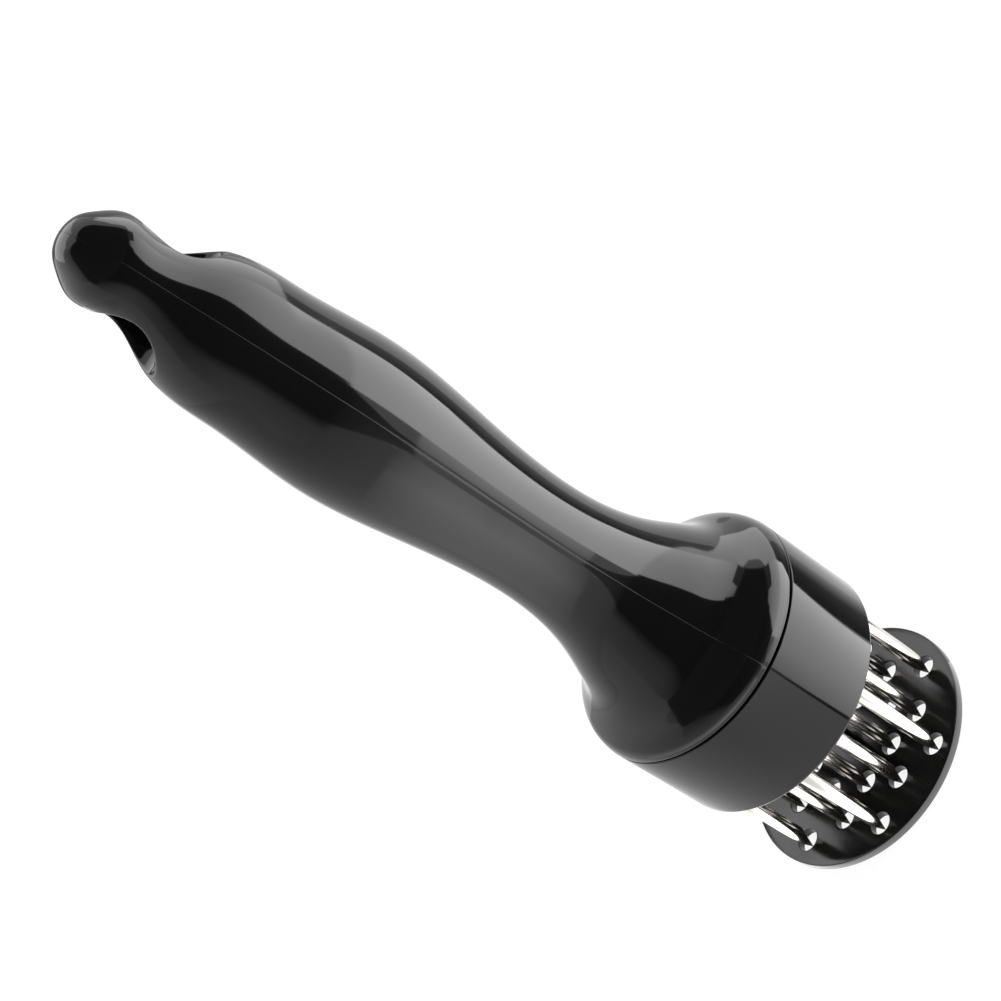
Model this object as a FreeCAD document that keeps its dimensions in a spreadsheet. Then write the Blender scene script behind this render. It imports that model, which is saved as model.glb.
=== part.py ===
import FreeCAD, Part
import math
import os
import Sketcher

# Spring-guard needle meat tenderizer, standing on its guard plate. Millimetres and degrees.
# Origin: centre of the guard plate's underside. +Z runs up the tool to the end of the handle.
# The handle's two shells meet on the XZ plane, and the hang hole runs through them along Y.

doc = FreeCAD.newDocument("MeatTenderizer")
doc.UndoMode = 0
sheet = doc.addObject("Spreadsheet::Sheet", "Dim")

SIZES = {
    # guard plate, its holes and the three rings of needles
    "guard_radius": 27.5,
    "guard_thickness": 2.0,
    "needle_count": 7,
    "outer_ring": 22.5,
    "middle_ring": 17.1,
    "inner_ring": 10.9,
    "ring_phase": 16.4,
    "guard_hole": 2.45,
    # needles, ground to a chisel point
    "needle_radius": 1.55,
    "needle_tip": 0.9,
    "needle_fit": 0.05,
    "grind_angle": 19.0,
    "edge_turn": -25.0,
    # collar that closes the bell and holds the needle plate on its ledge
    "collar_bottom": 28.9,
    "collar_top": 53.0,
    "collar_radius": 27.3,
    "collar_bore": 25.5,
    "collar_ledge": 24.5,
    "ledge_height": 2.0,
    "collar_edge": 0.7,
    # needle plate, backing plate and their screws
    "plate_radius": 25.3,
    "plate_height": 7.0,
    "backing_height": 3.0,
    "screw_radius": 1.25,
    "screw_head": 2.2,
    "screw_head_height": 1.6,
    "screw_length": 7.0,
    "screw_socket": 0.8,
    "screw_relief": 0.5,
    # plunger: rod, bush, stop washer, spring follower and clip
    "rod_radius": 2.0,
    "rod_neck": 1.5,
    "rod_top": 51.4,
    "rod_hole": 1.0,
    "rod_hole_depth": 9.0,
    "running_gap": 0.08,
    "bush_radius": 4.0,
    "bush_flange": 6.0,
    "bush_flange_height": 1.5,
    "stop_gap": 0.2,
    "stop_radius": 5.4,
    "stop_height": 1.5,
    "follower_height": 1.5,
    "follower_hub": 3.7,
    "follower_hub_height": 3.0,
    "clip_radius": 3.0,
    "clip_height": 0.6,
    "groove_radius": 1.2,
    # countersunk screw that holds the guard plate to the rod
    "guard_screw_head": 2.3,
    "guard_screw_cone": 1.3,
    "guard_screw_length": 9.0,
    "guard_screw_sunk": 0.1,
    "guard_screw_play": 0.3,
    "guard_slot_width": 0.6,
    "guard_slot_depth": 0.6,
    # return spring and its seat in the handle's neck
    "coil_radius": 4.7,
    "wire_radius": 0.5,
    "coil_turns": 9,
    "seat_height": 102.0,
    "seat_thickness": 2.4,
    "seat_hub": 3.7,
    "seat_hub_depth": 3.5,
    "seat_play": 0.2,
    # handle shells: rim at the collar, bored inside, hung by the eye near the end
    "spigot_bottom": 41.2,
    "spigot_radius": 25.3,
    "wall": 2.4,
    "rib_thickness": 2.0,
    "rib_bore": 6.5,
    "rib_gap": 0.1,
    "cavity_top": 168.0,
    "eye_radius": 6.6,
    "peg_radius": 1.25,
    "peg_length": 3.0,
    "peg_boss": 2.6,
    "peg_fit": 0.05,
    "peg_inset": 1.0,
    "handle_end": 203.3,
}

# Where the handle's outline is taken. Its turned length: height and radius.
TURNED = {
    "rim": (53.4, 27.4),
    "crown": (57.5, 25.7),
    "shoulder": (62.5, 21.3),
    "flare": (68.0, 18.2),
    "throat": (75.0, 15.4),
    "neck": (84.0, 13.1),
    "waist": (97.0, 12.1),
    "finger": (120.0, 13.9),
    "swell": (143.0, 15.8),
    "thumb": (163.0, 14.4),
    "hollow": (176.0, 13.1),
}

# Its end, flattened round the hang eye: height, half width along X, half depth along Y.
OVALS = {
    "eye": (184.5, 11.5, 9.6),
    "dip": (190.5, 10.9, 8.3),
    "knob": (195.5, 10.0, 8.6),
    "brow": (200.0, 6.7, 6.1),
    "crest": (202.3, 3.9, 3.8),
}

# Sides of what repeats, such as the needles, their holes, the screws and the pegs, and of the handle's hidden room.
FACETS = 12
CAVITY_FACETS = 16

numbers = dict(SIZES)
for stations, sides in ((TURNED, ("height", "radius")), (OVALS, ("height", "width", "depth"))):
    for station, values in stations.items():
        for side, value in zip(sides, values):
            numbers[f"{station}_{side}"] = value
for row, (alias, number) in enumerate(numbers.items(), 1):
    sheet.set(f"A{row}", alias)
    sheet.set(f"B{row}", str(number))
    sheet.setAlias(f"B{row}", alias)
doc.recompute()

# Heights that follow from the sizes above, as formulas for the sheet's aliases.
PLATE_BOTTOM = "(Dim.collar_bottom + Dim.ledge_height)"
PLATE_TOP = f"({PLATE_BOTTOM} + Dim.plate_height)"
BACKING_TOP = f"({PLATE_TOP} + Dim.backing_height)"
BUSH_TOP = f"({BACKING_TOP} + Dim.bush_flange_height)"
STOP_BOTTOM = f"({BUSH_TOP} + Dim.stop_gap)"
STOP_TOP = f"({STOP_BOTTOM} + Dim.stop_height)"
FOLLOWER_TOP = f"({STOP_TOP} + Dim.follower_height)"
HUB_TOP = f"({FOLLOWER_TOP} + Dim.follower_hub_height)"
CLIP_TOP = f"({HUB_TOP} + Dim.clip_height)"
SEAT_TOP = "(Dim.seat_height + Dim.seat_thickness)"

subparts = []


def origin_part(body, role):
    """The body's own origin plane or axis with this role."""
    return next(item for item in body.Origin.OriginFeatures if item.Role == role)


def new_body(label):
    body = doc.addObject("PartDesign::Body", label)
    body.Label = label
    subparts.append(body)
    return body


def new_sketch(body, name, role, lift=None):
    sketch = body.newObject("Sketcher::SketchObject", f"{body.Name}_{name}")
    sketch.AttachmentSupport = (origin_part(body, role), [""])
    sketch.MapMode = "FlatFace"
    if lift is not None:
        sketch.setExpression("AttachmentOffset.Base.z", lift)
    return sketch


def constrain(sketch, kind, *where, formula):
    """Adds a dimension to the sketch and binds it to a formula of the sheet."""
    number = sketch.addConstraint(Sketcher.Constraint(kind, *where, 1.0))
    sketch.setExpression(f"Constraints[{number}]", formula)


def outline(sketch, points):
    """A closed outline of straight lines whose corners are pairs of formulas."""
    count = len(points)
    spots = [FreeCAD.Vector(math.cos(2 * math.pi * i / count), math.sin(2 * math.pi * i / count), 0)
             for i in range(count)]
    first = len(sketch.Geometry)
    for i in range(count):
        sketch.addGeometry(Part.LineSegment(spots[i], spots[(i + 1) % count]), False)
    for i in range(count):
        sketch.addConstraint(Sketcher.Constraint("Coincident", first + i, 2, first + (i + 1) % count, 1))
        across, up = points[i]
        constrain(sketch, "DistanceX", -1, 1, first + i, 1, formula=across)
        constrain(sketch, "DistanceY", -1, 1, first + i, 1, formula=up)


def circle(sketch, radius, across="0", up="0"):
    """A circle whose radius and centre are formulas."""
    middle = FreeCAD.Vector(1, 1, 0)
    number = sketch.addGeometry(Part.Circle(middle, FreeCAD.Vector(0, 0, 1), 1.0), False)
    constrain(sketch, "Radius", number, formula=radius)
    constrain(sketch, "DistanceX", -1, 1, number, 3, formula=across)
    constrain(sketch, "DistanceY", -1, 1, number, 3, formula=up)


def add(body, kind, name, profile, **settings):
    """A PartDesign feature on the body, which becomes its tip."""
    feature = body.newObject(f"PartDesign::{kind}", f"{body.Name}_{name}")
    if profile is not None:
        feature.Profile = (profile, [""])
        profile.Visibility = False
    for key, value in settings.items():
        setattr(feature, key, value)
    body.Tip = feature
    return feature


def turned(label, points):
    """A turned piece: an outline of (radius, height) pairs spun about Z."""
    body = new_body(label)
    sketch = new_sketch(body, "Outline", "XZ_Plane")
    outline(sketch, points)
    add(body, "Revolution", "Turning", sketch, ReferenceAxis=(sketch, ["V_Axis"]), Angle=360.0)
    return body


def polar(radius, angle):
    """Formulas for the X and Y of a point given by radius and angle."""
    return f"{radius} * cos({angle})", f"{radius} * sin({angle})"


def repeat_round(body, features, name, count):
    """Repeats features evenly round the body's Z axis."""
    pattern = add(body, "PolarPattern", name, None)
    pattern.Originals = features
    pattern.Axis = (origin_part(body, "Z_Axis"), [""])
    pattern.Angle = 360.0
    pattern.setExpression("Occurrences", count)
    return pattern


# Rings of needles: name, radius, and angle of the first needle. The middle ring sits half a step on.
RINGS = (
    ("outer", "Dim.outer_ring", "Dim.ring_phase"),
    ("middle", "Dim.middle_ring", "(Dim.ring_phase + 180 / Dim.needle_count)"),
    ("inner", "Dim.inner_ring", "Dim.ring_phase"),
)


def drill_rings(body, radius, bottom, height):
    """Drills one hole of each ring through a plate and repeats the three round it."""
    drills = []
    for name, ring, angle in RINGS:
        drill = add(body, "SubtractivePrism", f"Drill_{name}", None, Polygon=FACETS)
        drill.setExpression("Circumradius", f"({radius}) / cos(180 / {FACETS})")
        drill.setExpression("Height", height)
        place(drill, *polar(ring, angle), bottom)
        drills.append(drill)
    repeat_round(body, drills, "DrillPattern", "Dim.needle_count")


def guard_plate():
    """Perforated disc that the needles pass through, countersunk from below for the rod's screw."""
    hole = "Dim.rod_hole + Dim.guard_screw_play"
    body = turned("guard_plate", [
        (hole, "Dim.guard_screw_cone"),
        ("Dim.guard_screw_head + Dim.guard_screw_play", "0"),
        ("Dim.guard_radius", "0"),
        ("Dim.guard_radius", "Dim.guard_thickness"),
        (hole, "Dim.guard_thickness"),
    ])
    drill_rings(body, "Dim.guard_hole", "0", "Dim.guard_thickness")


def needle(label, ring, angle):
    """Round steel pin with a chisel point ground by two flat bevels; all edges point one way."""
    body = new_body(label)
    rod = add(body, "AdditivePrism", "Rod", None, Polygon=FACETS)
    rod.setExpression("Circumradius", "Dim.needle_radius")
    rod.setExpression("Height", f"{PLATE_TOP} - Dim.needle_tip")
    place(rod, "0", "0", "Dim.needle_tip")
    wide = "Dim.needle_radius * 1.2"
    high = f"Dim.needle_tip + {wide} / tan(Dim.grind_angle)"
    bevel = new_sketch(body, "Bevel", "XZ_Plane")
    for side in ("", "-"):
        outline(bevel, [("0", "Dim.needle_tip"), (f"{side}{wide}", "Dim.needle_tip"), (f"{side}{wide}", high)])
    add(body, "Pocket", "Grind", bevel, Type="ThroughAll", Midplane=True)
    across, up = polar(ring, angle)
    body.setExpression("Placement.Base.x", across)
    body.setExpression("Placement.Base.y", up)
    body.Placement.Rotation = FreeCAD.Rotation(FreeCAD.Vector(0, 0, 1), SIZES["edge_turn"])


def needle_plate():
    """Thick disc in which the needles are pressed, bored for the bush and tapped for three screws."""
    body = turned("needle_plate", [
        ("Dim.bush_radius", PLATE_BOTTOM),
        ("Dim.plate_radius", PLATE_BOTTOM),
        ("Dim.plate_radius", PLATE_TOP),
        ("Dim.bush_radius", PLATE_TOP),
    ])
    drill_rings(body, "Dim.needle_radius + Dim.needle_fit", PLATE_BOTTOM, "Dim.plate_height")
    drill_screws(body, PLATE_TOP, "Dim.screw_length - Dim.backing_height + Dim.screw_relief",
                 "Dim.screw_radius")


def screw_spots():
    """Three of the seven gaps of the middle ring, as even round the plate as the gaps allow."""
    angles = [f"(Dim.ring_phase + {gap} * 360 / Dim.needle_count)" for gap in (0, 2, 5)]
    return [polar("Dim.middle_ring", angle) for angle in angles]


def drill_screws(body, top, depth, radius):
    sketch = new_sketch(body, "ScrewHoles", "XY_Plane", top)
    for across, up in screw_spots():
        circle(sketch, radius, across, up)
    feature = add(body, "Pocket", "ScrewDrill", sketch, Type="Length")
    feature.setExpression("Length", depth)


def needle_backing_plate():
    """Disc that closes the needle plate and takes the needles' thrust."""
    body = turned("needle_backing_plate", [
        ("Dim.bush_radius", PLATE_TOP),
        ("Dim.plate_radius", PLATE_TOP),
        ("Dim.plate_radius", BACKING_TOP),
        ("Dim.bush_radius", BACKING_TOP),
    ])
    drill_screws(body, BACKING_TOP, "Dim.backing_height", "Dim.screw_radius")


def plate_screws():
    """Three pan-head screws, backing plate to needle plate, with hexagon sockets."""
    screws = []
    for number, (across, up) in enumerate(screw_spots(), 1):
        shank = prism(f"ScrewShank{number}", FACETS, "Dim.screw_radius", "Dim.screw_length",
                      across, up, f"{BACKING_TOP} - Dim.screw_length")
        head = prism(f"ScrewHead{number}", FACETS, "Dim.screw_head", "Dim.screw_head_height", across, up, BACKING_TOP)
        socket = prism(f"ScrewSocket{number}", 6, "Dim.screw_socket", "Dim.screw_head_height",
                       across, up, f"{BACKING_TOP} + Dim.screw_head_height / 2")
        screws.append(cut(f"Screw{number}", fuse(f"ScrewBlank{number}", [shank, head]), socket))
    group = doc.addObject("Part::Compound", "plate_screws")
    group.Links = screws
    subparts.append(group)


def collar():
    """Cup-shaped ring under the bell: softened foot, inner ledge for the needle plate."""
    turned("head_collar", [
        ("Dim.collar_ledge", "Dim.collar_bottom"),
        ("Dim.collar_radius - Dim.collar_edge", "Dim.collar_bottom"),
        ("Dim.collar_radius", "Dim.collar_bottom + Dim.collar_edge"),
        ("Dim.collar_radius", "Dim.collar_top"),
        ("Dim.collar_bore", "Dim.collar_top"),
        ("Dim.collar_bore", PLATE_BOTTOM),
        ("Dim.collar_ledge", PLATE_BOTTOM),
    ])


def plunger():
    """Rod, bush and the pieces on the rod's neck that stop the guard and carry the spring."""
    bore = "Dim.rod_radius + Dim.running_gap"
    turned("guide_bush", [
        (bore, PLATE_BOTTOM),
        ("Dim.bush_radius", PLATE_BOTTOM),
        ("Dim.bush_radius", BACKING_TOP),
        ("Dim.bush_flange", BACKING_TOP),
        ("Dim.bush_flange", BUSH_TOP),
        (bore, BUSH_TOP),
    ])
    turned("plunger_rod", [
        ("0", "Dim.guard_thickness + Dim.rod_hole_depth"),
        ("Dim.rod_hole", "Dim.guard_thickness + Dim.rod_hole_depth"),
        ("Dim.rod_hole", "Dim.guard_thickness"),
        ("Dim.rod_radius", "Dim.guard_thickness"),
        ("Dim.rod_radius", STOP_TOP),
        ("Dim.rod_neck", STOP_TOP),
        ("Dim.rod_neck", HUB_TOP),
        ("Dim.groove_radius", HUB_TOP),
        ("Dim.groove_radius", CLIP_TOP),
        ("Dim.rod_neck", CLIP_TOP),
        ("Dim.rod_neck", "Dim.rod_top"),
        ("0", "Dim.rod_top"),
    ])
    turned("stop_washer", [
        ("Dim.rod_radius", STOP_BOTTOM),
        ("Dim.stop_radius", STOP_BOTTOM),
        ("Dim.stop_radius", STOP_TOP),
        ("Dim.rod_radius", STOP_TOP),
    ])
    turned("spring_follower", [
        ("Dim.rod_neck", STOP_TOP),
        ("Dim.stop_radius", STOP_TOP),
        ("Dim.stop_radius", FOLLOWER_TOP),
        ("Dim.follower_hub", FOLLOWER_TOP),
        ("Dim.follower_hub", HUB_TOP),
        ("Dim.rod_neck", HUB_TOP),
    ])
    turned("retaining_clip", [
        ("Dim.groove_radius", HUB_TOP),
        ("Dim.clip_radius", HUB_TOP),
        ("Dim.clip_radius", CLIP_TOP),
        ("Dim.groove_radius", CLIP_TOP),
    ])
    clip = doc.getObject("retaining_clip")
    mouth = new_sketch(clip, "Mouth", "XY_Plane", HUB_TOP)
    outline(mouth, [
        ("0", "-Dim.groove_radius * 0.9"),
        ("Dim.clip_radius * 1.1", "-Dim.groove_radius * 0.9"),
        ("Dim.clip_radius * 1.1", "Dim.groove_radius * 0.9"),
        ("0", "Dim.groove_radius * 0.9"),
    ])
    opening = add(clip, "Pocket", "Opening", mouth, Type="Length", Reversed=True)
    opening.setExpression("Length", "Dim.clip_height")
    screw = turned("guard_screw", [
        ("0", "Dim.guard_screw_sunk"),
        ("Dim.guard_screw_head", "Dim.guard_screw_sunk"),
        ("Dim.rod_hole", "Dim.guard_screw_cone + Dim.guard_screw_sunk"),
        ("Dim.rod_hole", "Dim.guard_screw_length"),
        ("0", "Dim.guard_screw_length"),
    ])
    slot = new_sketch(screw, "Slot", "XZ_Plane")
    half = "Dim.guard_slot_width / 2"
    slot_top = "Dim.guard_screw_sunk + Dim.guard_slot_depth"
    outline(slot, [
        (f"-{half}", "Dim.guard_screw_sunk"),
        (half, "Dim.guard_screw_sunk"),
        (half, slot_top),
        (f"-{half}", slot_top),
    ])
    add(screw, "Pocket", "SlotCut", slot, Type="ThroughAll", Midplane=True)


def spring_seat():
    """Cup in the neck that takes the top of the spring."""
    turned("spring_seat", [
        ("0", "Dim.seat_height - Dim.seat_hub_depth"),
        ("Dim.seat_hub", "Dim.seat_height - Dim.seat_hub_depth"),
        ("Dim.seat_hub", "Dim.seat_height"),
        ("Dim.waist_radius - Dim.wall - Dim.seat_play", "Dim.seat_height"),
        ("Dim.waist_radius - Dim.wall - Dim.seat_play", SEAT_TOP),
        ("0", SEAT_TOP),
    ])


def number_of(name):
    return float(sheet.get(name))


def return_spring(bottom, top):
    """Compression spring, plain since the handle hides it: a few-sided wire on a few-sided helix."""
    coil = number_of("coil_radius")
    wire = number_of("wire_radius")
    turns = int(number_of("coil_turns"))
    steps = 10
    corners_round = 4
    low = bottom + wire
    rise = top - bottom - 2 * wire
    sections = []
    for step in range(turns * steps + 1):
        angle = 2 * math.pi * step / steps
        share = step / (turns * steps)
        outward = FreeCAD.Vector(math.cos(angle), math.sin(angle), 0)
        middle = outward * coil + FreeCAD.Vector(0, 0, low + rise * share)
        corners = []
        for side in range(corners_round + 1):
            turn = 2 * math.pi * side / corners_round
            corners.append(middle + outward * (wire * math.cos(turn)) + FreeCAD.Vector(0, 0, wire * math.sin(turn)))
        sections.append(Part.makePolygon(corners))
    spring = doc.addObject("Part::Feature", "return_spring")
    spring.Shape = Part.makeLoft(sections, True, True)
    subparts.append(spring)


def place(thing, across, along, up):
    thing.setExpression("Placement.Base.x", across)
    thing.setExpression("Placement.Base.y", along)
    thing.setExpression("Placement.Base.z", up)


def cylinder(name, radius, height, across="0", along="0", up="0"):
    thing = doc.addObject("Part::Cylinder", name)
    thing.setExpression("Radius", radius)
    thing.setExpression("Height", height)
    place(thing, across, along, up)
    return thing


def prism(name, sides, radius, height, across, along, up):
    thing = doc.addObject("Part::Prism", name)
    thing.Polygon = sides
    thing.setExpression("Circumradius", radius)
    thing.setExpression("Height", height)
    place(thing, across, along, up)
    return thing


def fuse(name, things):
    thing = doc.addObject("Part::MultiFuse", name)
    thing.Shapes = things
    return thing


def cut(name, base, tool):
    thing = doc.addObject("Part::Cut", name)
    thing.Base = base
    thing.Tool = tool
    return thing


def turned_length():
    """The handle from its spigot, which sits in the collar, up to the hollow below the eye."""
    body = doc.addObject("PartDesign::Body", "HandleTurned")
    sketch = new_sketch(body, "Outline", "XZ_Plane")
    outline(sketch, [
        ("0", "Dim.spigot_bottom"),
        ("Dim.spigot_radius", "Dim.spigot_bottom"),
        ("Dim.spigot_radius", "Dim.rim_height"),
    ] + [(f"Dim.{name}_radius", f"Dim.{name}_height") for name in TURNED] + [
        ("0", "Dim.hollow_height"),
    ])
    add(body, "Revolution", "Turning", sketch, ReferenceAxis=(sketch, ["V_Axis"]), Angle=360.0)
    return body


def handle_form():
    """The handle's outer form: a turned length, lofted on through ovals to a rounded end with a hang eye."""
    neck = doc.addObject("Part::Circle", "HollowRound")
    neck.setExpression("Radius", "Dim.hollow_radius")
    neck.setExpression("Placement.Base.z", "Dim.hollow_height")
    sections = [neck]
    for station in OVALS:
        oval = doc.addObject("Part::Ellipse", f"Oval_{station}")
        oval.setExpression("MajorRadius", f"Dim.{station}_width")
        oval.setExpression("MinorRadius", f"Dim.{station}_depth")
        oval.setExpression("Placement.Base.z", f"Dim.{station}_height")
        sections.append(oval)
    end = doc.addObject("Part::Vertex", "HandleEnd")
    end.setExpression("Z", "Dim.handle_end")
    loft = doc.addObject("Part::Loft", "HandleLoft")
    loft.Sections = sections + [end]
    loft.Solid = True
    loft.Ruled = True
    eye = cylinder("HangEye", "Dim.eye_radius", "Dim.swell_radius * 4", up="Dim.eye_height")
    eye.Placement.Rotation = FreeCAD.Rotation(FreeCAD.Vector(1, 0, 0), 90)
    eye.setExpression("Placement.Base.y", "Dim.swell_radius * 2")
    return cut("HandleSolid", fuse("HandleBlank", [turned_length(), loft]), eye)


def handle_cavity():
    """Room inside for the plunger and spring, out of sight: plain polygons lofted to follow the outside."""
    rooms = [("Dim.spigot_radius", "Dim.spigot_bottom - Dim.wall"), ("Dim.spigot_radius", "Dim.crown_height")]
    rooms += [(f"Dim.{name}_radius", f"Dim.{name}_height") for name in
              ("shoulder", "throat", "neck", "waist", "swell", "thumb")]
    rooms += [("Dim.rib_bore + Dim.wall", "Dim.cavity_top")]
    sections = []
    for number, (radius, height) in enumerate(rooms):
        ring = doc.addObject("Part::RegularPolygon", f"Room{number}")
        ring.Polygon = CAVITY_FACETS
        ring.setExpression("Circumradius", f"{radius} - Dim.wall")
        ring.Placement.Rotation = FreeCAD.Rotation(FreeCAD.Vector(0, 0, 1), 180 / CAVITY_FACETS)
        ring.setExpression("Placement.Base.z", height)
        sections.append(ring)
    room = doc.addObject("Part::Loft", "HandleCavity")
    room.Sections = sections
    room.Solid = True
    room.Ruled = True
    return room


def seat_ribs():
    """Two rings moulded in the neck, one each side of the spring seat."""
    rings = []
    for name, bottom in (("Lower", "Dim.seat_height - Dim.rib_gap - Dim.rib_thickness"),
                         ("Upper", f"{SEAT_TOP} + Dim.rib_gap")):
        disc = cylinder(f"Rib{name}Disc", "Dim.waist_radius - Dim.wall / 2", "Dim.rib_thickness", up=bottom)
        bore = cylinder(f"Rib{name}Bore", "Dim.rib_bore", "Dim.rib_thickness", up=bottom)
        rings.append(cut(f"Rib{name}", disc, bore))
    return rings


# Heights of the shells' locating pegs, each with the station whose wall carries them.
PEGS = (("flare", "-3"), ("finger", "+0"), ("thumb", "-3"))


def boss(name, radius, length, across, up, start, side):
    """A peg along Y from start, towards -Y for side -1 and towards +Y for side 1."""
    thing = prism(name, FACETS, radius, length, across, start, up)
    thing.Placement.Rotation = FreeCAD.Rotation(FreeCAD.Vector(1, 0, 0), -90 * side)
    return thing


def handle_shell(label, side, solid, cavity, ribs):
    """One half of the handle: wall, seat ribs and peg bosses; pegs on the front half, sockets on the back."""
    hollow = cut(f"{label}_Hollow", solid, cavity)
    ribbed = fuse(f"{label}_Ribbed", [hollow] + ribs)
    half = doc.addObject("Part::Box", f"{label}_Half")
    half.setExpression("Length", "Dim.guard_radius * 2.4")
    half.setExpression("Width", "Dim.guard_radius * 1.2")
    half.setExpression("Height", "Dim.handle_end * 1.2")
    half.setExpression("Placement.Base.x", "-Dim.guard_radius * 1.2")
    half.setExpression("Placement.Base.y", "0" if side > 0 else "-Dim.guard_radius * 1.2")
    shell = doc.addObject("Part::Common", f"{label}_Shell")
    shell.Base = ribbed
    shell.Tool = half
    bosses = []
    pegs = []
    for station, shift in PEGS:
        radius = f"Dim.{station}_radius"
        across = f"({radius} - Dim.wall - Dim.peg_boss * 0.8)"
        depth = f"sqrt({radius}^2 - ({across} + Dim.peg_boss)^2) - Dim.peg_inset"
        up = f"Dim.{station}_height {shift}"
        for hand in ("", "-"):
            tag = f"{label}_{station}{'L' if hand else 'R'}"
            bosses.append(boss(f"{tag}_Boss", "Dim.peg_boss", depth, hand + across, up, "0", side))
            fit = "Dim.peg_radius" if side < 0 else "Dim.peg_radius + Dim.peg_fit"
            length = "Dim.peg_length" if side < 0 else "Dim.peg_length + Dim.rib_gap * 4"
            pegs.append(boss(f"{tag}_Peg", fit, length, hand + across, up, "0", 1))
    full = fuse(f"{label}_Full", [shell] + bosses)
    if side < 0:
        finished = fuse(label, [full] + pegs)
    else:
        finished = cut(label, full, fuse(f"{label}_Sockets", pegs))
    finished.Label = label
    subparts.append(finished)


guard_plate()
plunger()
for ring_name, ring_radius, ring_angle in RINGS:
    for index in range(SIZES["needle_count"]):
        angle_now = f"({ring_angle} + {index} * 360 / Dim.needle_count)"
        needle(f"{ring_name}_needle_{index + 1}", ring_radius, angle_now)
needle_plate()
needle_backing_plate()
plate_screws()
collar()
spring_seat()
doc.recompute()
follower_top = doc.getObject("spring_follower").Shape.BoundBox.ZMax - number_of("follower_hub_height")
return_spring(follower_top, number_of("seat_height"))
form = handle_form()
room = handle_cavity()
seat_rings = seat_ribs()
handle_shell("handle_front_shell", -1, form, room, seat_rings)
handle_shell("handle_back_shell", 1, form, room, seat_rings)
doc.recompute()

for thing in doc.Objects:
    if "Invalid" in thing.State or "Error" in thing.State:
        raise RuntimeError(f"{thing.Label}: {thing.State}")
os.makedirs("parts", exist_ok=True)
total = 0
for thing in subparts:
    shape = thing.Shape
    if shape.isNull() or not shape.isValid() or not shape.Solids:
        raise RuntimeError(f"{thing.Label}: no valid solid")
    shape.exportStep(f"parts/{thing.Label}.step")
    print(thing.Label, len(shape.Solids), round(shape.Volume, 2), round(shape.BoundBox.ZMin, 2),
          round(shape.BoundBox.ZMax, 2))
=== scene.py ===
import math

import bmesh
import bpy
import numpy as np
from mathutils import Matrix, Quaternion, Vector
from mathutils.geometry import delaunay_2d_cdt


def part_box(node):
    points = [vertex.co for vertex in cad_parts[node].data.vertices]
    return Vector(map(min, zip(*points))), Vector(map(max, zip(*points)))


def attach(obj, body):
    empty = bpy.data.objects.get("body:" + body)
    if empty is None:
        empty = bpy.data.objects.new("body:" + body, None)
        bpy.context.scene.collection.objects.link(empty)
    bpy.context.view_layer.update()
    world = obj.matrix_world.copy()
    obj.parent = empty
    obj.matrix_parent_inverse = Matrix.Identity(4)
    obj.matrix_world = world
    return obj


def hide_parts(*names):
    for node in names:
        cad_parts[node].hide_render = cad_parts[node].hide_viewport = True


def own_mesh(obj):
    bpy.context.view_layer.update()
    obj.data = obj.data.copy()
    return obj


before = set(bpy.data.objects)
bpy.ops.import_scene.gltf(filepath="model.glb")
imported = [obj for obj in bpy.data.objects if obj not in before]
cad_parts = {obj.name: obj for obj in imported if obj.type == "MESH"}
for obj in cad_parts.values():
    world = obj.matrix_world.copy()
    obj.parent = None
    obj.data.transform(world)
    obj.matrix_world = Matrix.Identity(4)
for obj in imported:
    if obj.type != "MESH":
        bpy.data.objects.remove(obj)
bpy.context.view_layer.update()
print("frame loaded:", len(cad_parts), "nodes")

mm = 0.001  # shapes below are worked out in millimetres
mergeDistance = 2e-7  # metres; points closer than this become one
shortestEdge = 1e-8  # metres; shorter edges are taken out
fillHoleFree = 2  # Blender's number for triangles inside a loop that leave out the loops inside it
fillCloseness = 1e-5  # mm; how near two points of a flat face may be and still differ


def hexColor(text, alpha=1.0):
    # sRGB hex to the linear colour that shader sockets hold
    parts = np.array([int(text[i:i + 2], 16) / 255 for i in (1, 3, 5)])
    linear = np.where(parts <= 0.04045, parts / 12.92, ((parts + 0.055) / 1.055) ** 2.4)
    return (*linear.tolist(), alpha)


def perMetre(sizeMm):
    # the scale of a texture whose pattern has this size: how many of them fit in a metre
    return 1000 / sizeMm


def addNode(tree, kind, settings=None, values=None, links=None):
    # one shader node with its settings, its socket values and what feeds it
    node = tree.nodes.new(kind)
    for key, value in (settings or {}).items():
        setattr(node, key, value)
    for socket, value in (values or {}).items():
        node.inputs[socket].default_value = value
    for socket, source in (links or {}).items():
        tree.links.new(source, node.inputs[socket])
    return node


def newMaterial(name):
    # an empty material and its node tree
    material = bpy.data.materials.new(name)
    material.use_nodes = True
    material.node_tree.nodes.clear()
    return material, material.node_tree


def finishMaterial(tree, shader):
    # the shader as the material's surface
    addNode(tree, "ShaderNodeOutputMaterial", links={"Surface": shader.outputs[0]})


def gridFaces(rows, columns, skip=None):
    # quads of a rows x columns grid of points; skip is (firstRow, lastRow, firstColumn, lastColumn)
    i, j = np.meshgrid(np.arange(rows - 1), np.arange(columns - 1), indexing="ij")
    keep = np.ones(i.shape, bool)
    if skip:
        keep[skip[0]:skip[1], skip[2]:skip[3]] = False
    corner = (i * columns + j)[keep]
    return np.stack([corner, corner + 1, corner + columns + 1, corner + columns], axis=1)


def patch(points, flip=False, skip=None, material=0):
    # a grid of points (rows, columns, 3) as vertices and quads
    faces = gridFaces(points.shape[0], points.shape[1], skip)
    return points.reshape(-1, 3), faces[:, ::-1] if flip else faces, material


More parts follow.
